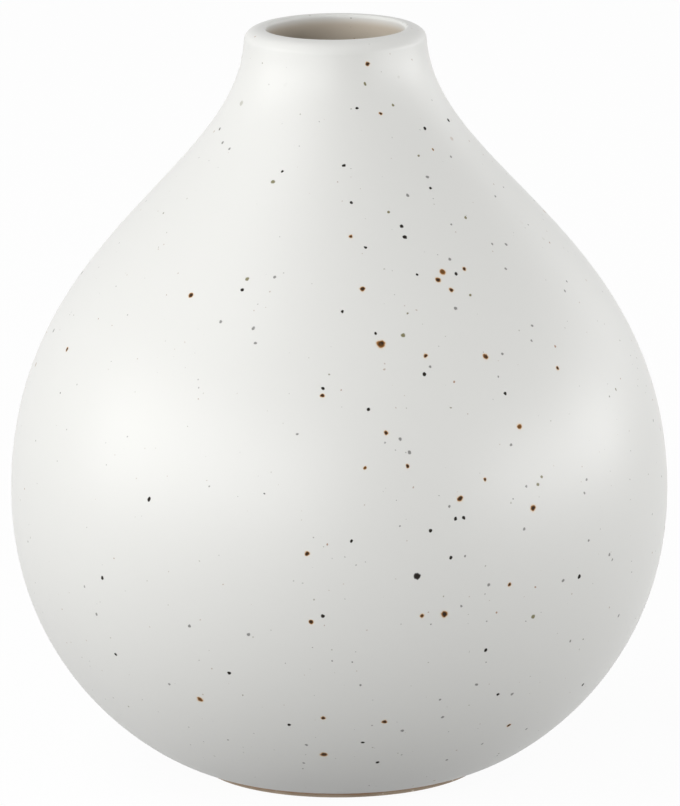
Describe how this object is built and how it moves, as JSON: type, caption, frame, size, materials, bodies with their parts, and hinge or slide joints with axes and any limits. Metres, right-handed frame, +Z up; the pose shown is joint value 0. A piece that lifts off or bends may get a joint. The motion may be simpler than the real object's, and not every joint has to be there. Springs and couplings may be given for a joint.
{
  "type": "bud vase",
  "caption": "Small round-bellied ceramic bud vase with a narrow rounded mouth, satin white speckled glaze and a bare foot ring.",
  "frame": {"origin": "centre of the foot ring, on the table", "axes": "+Z up along the axis of turning, out of the mouth"},
  "size_m": [0.105, 0.105, 0.12],
  "materials": {
    "bare_clay": "bare fired stoneware, matt, fine grog",
    "speckled_glaze": "satin gloss off-white glaze with iron specks",
    "liner_glaze": "satin gloss warm white liner glaze",
    "base_glaze": "satin gloss off-white glaze"
  },
  "bodies": {
    "root": {"clay_body": "bare_clay", "outer_glaze": "speckled_glaze", "liner_glaze": "liner_glaze", "base_glaze": "base_glaze"}
  },
  "joints": []
}
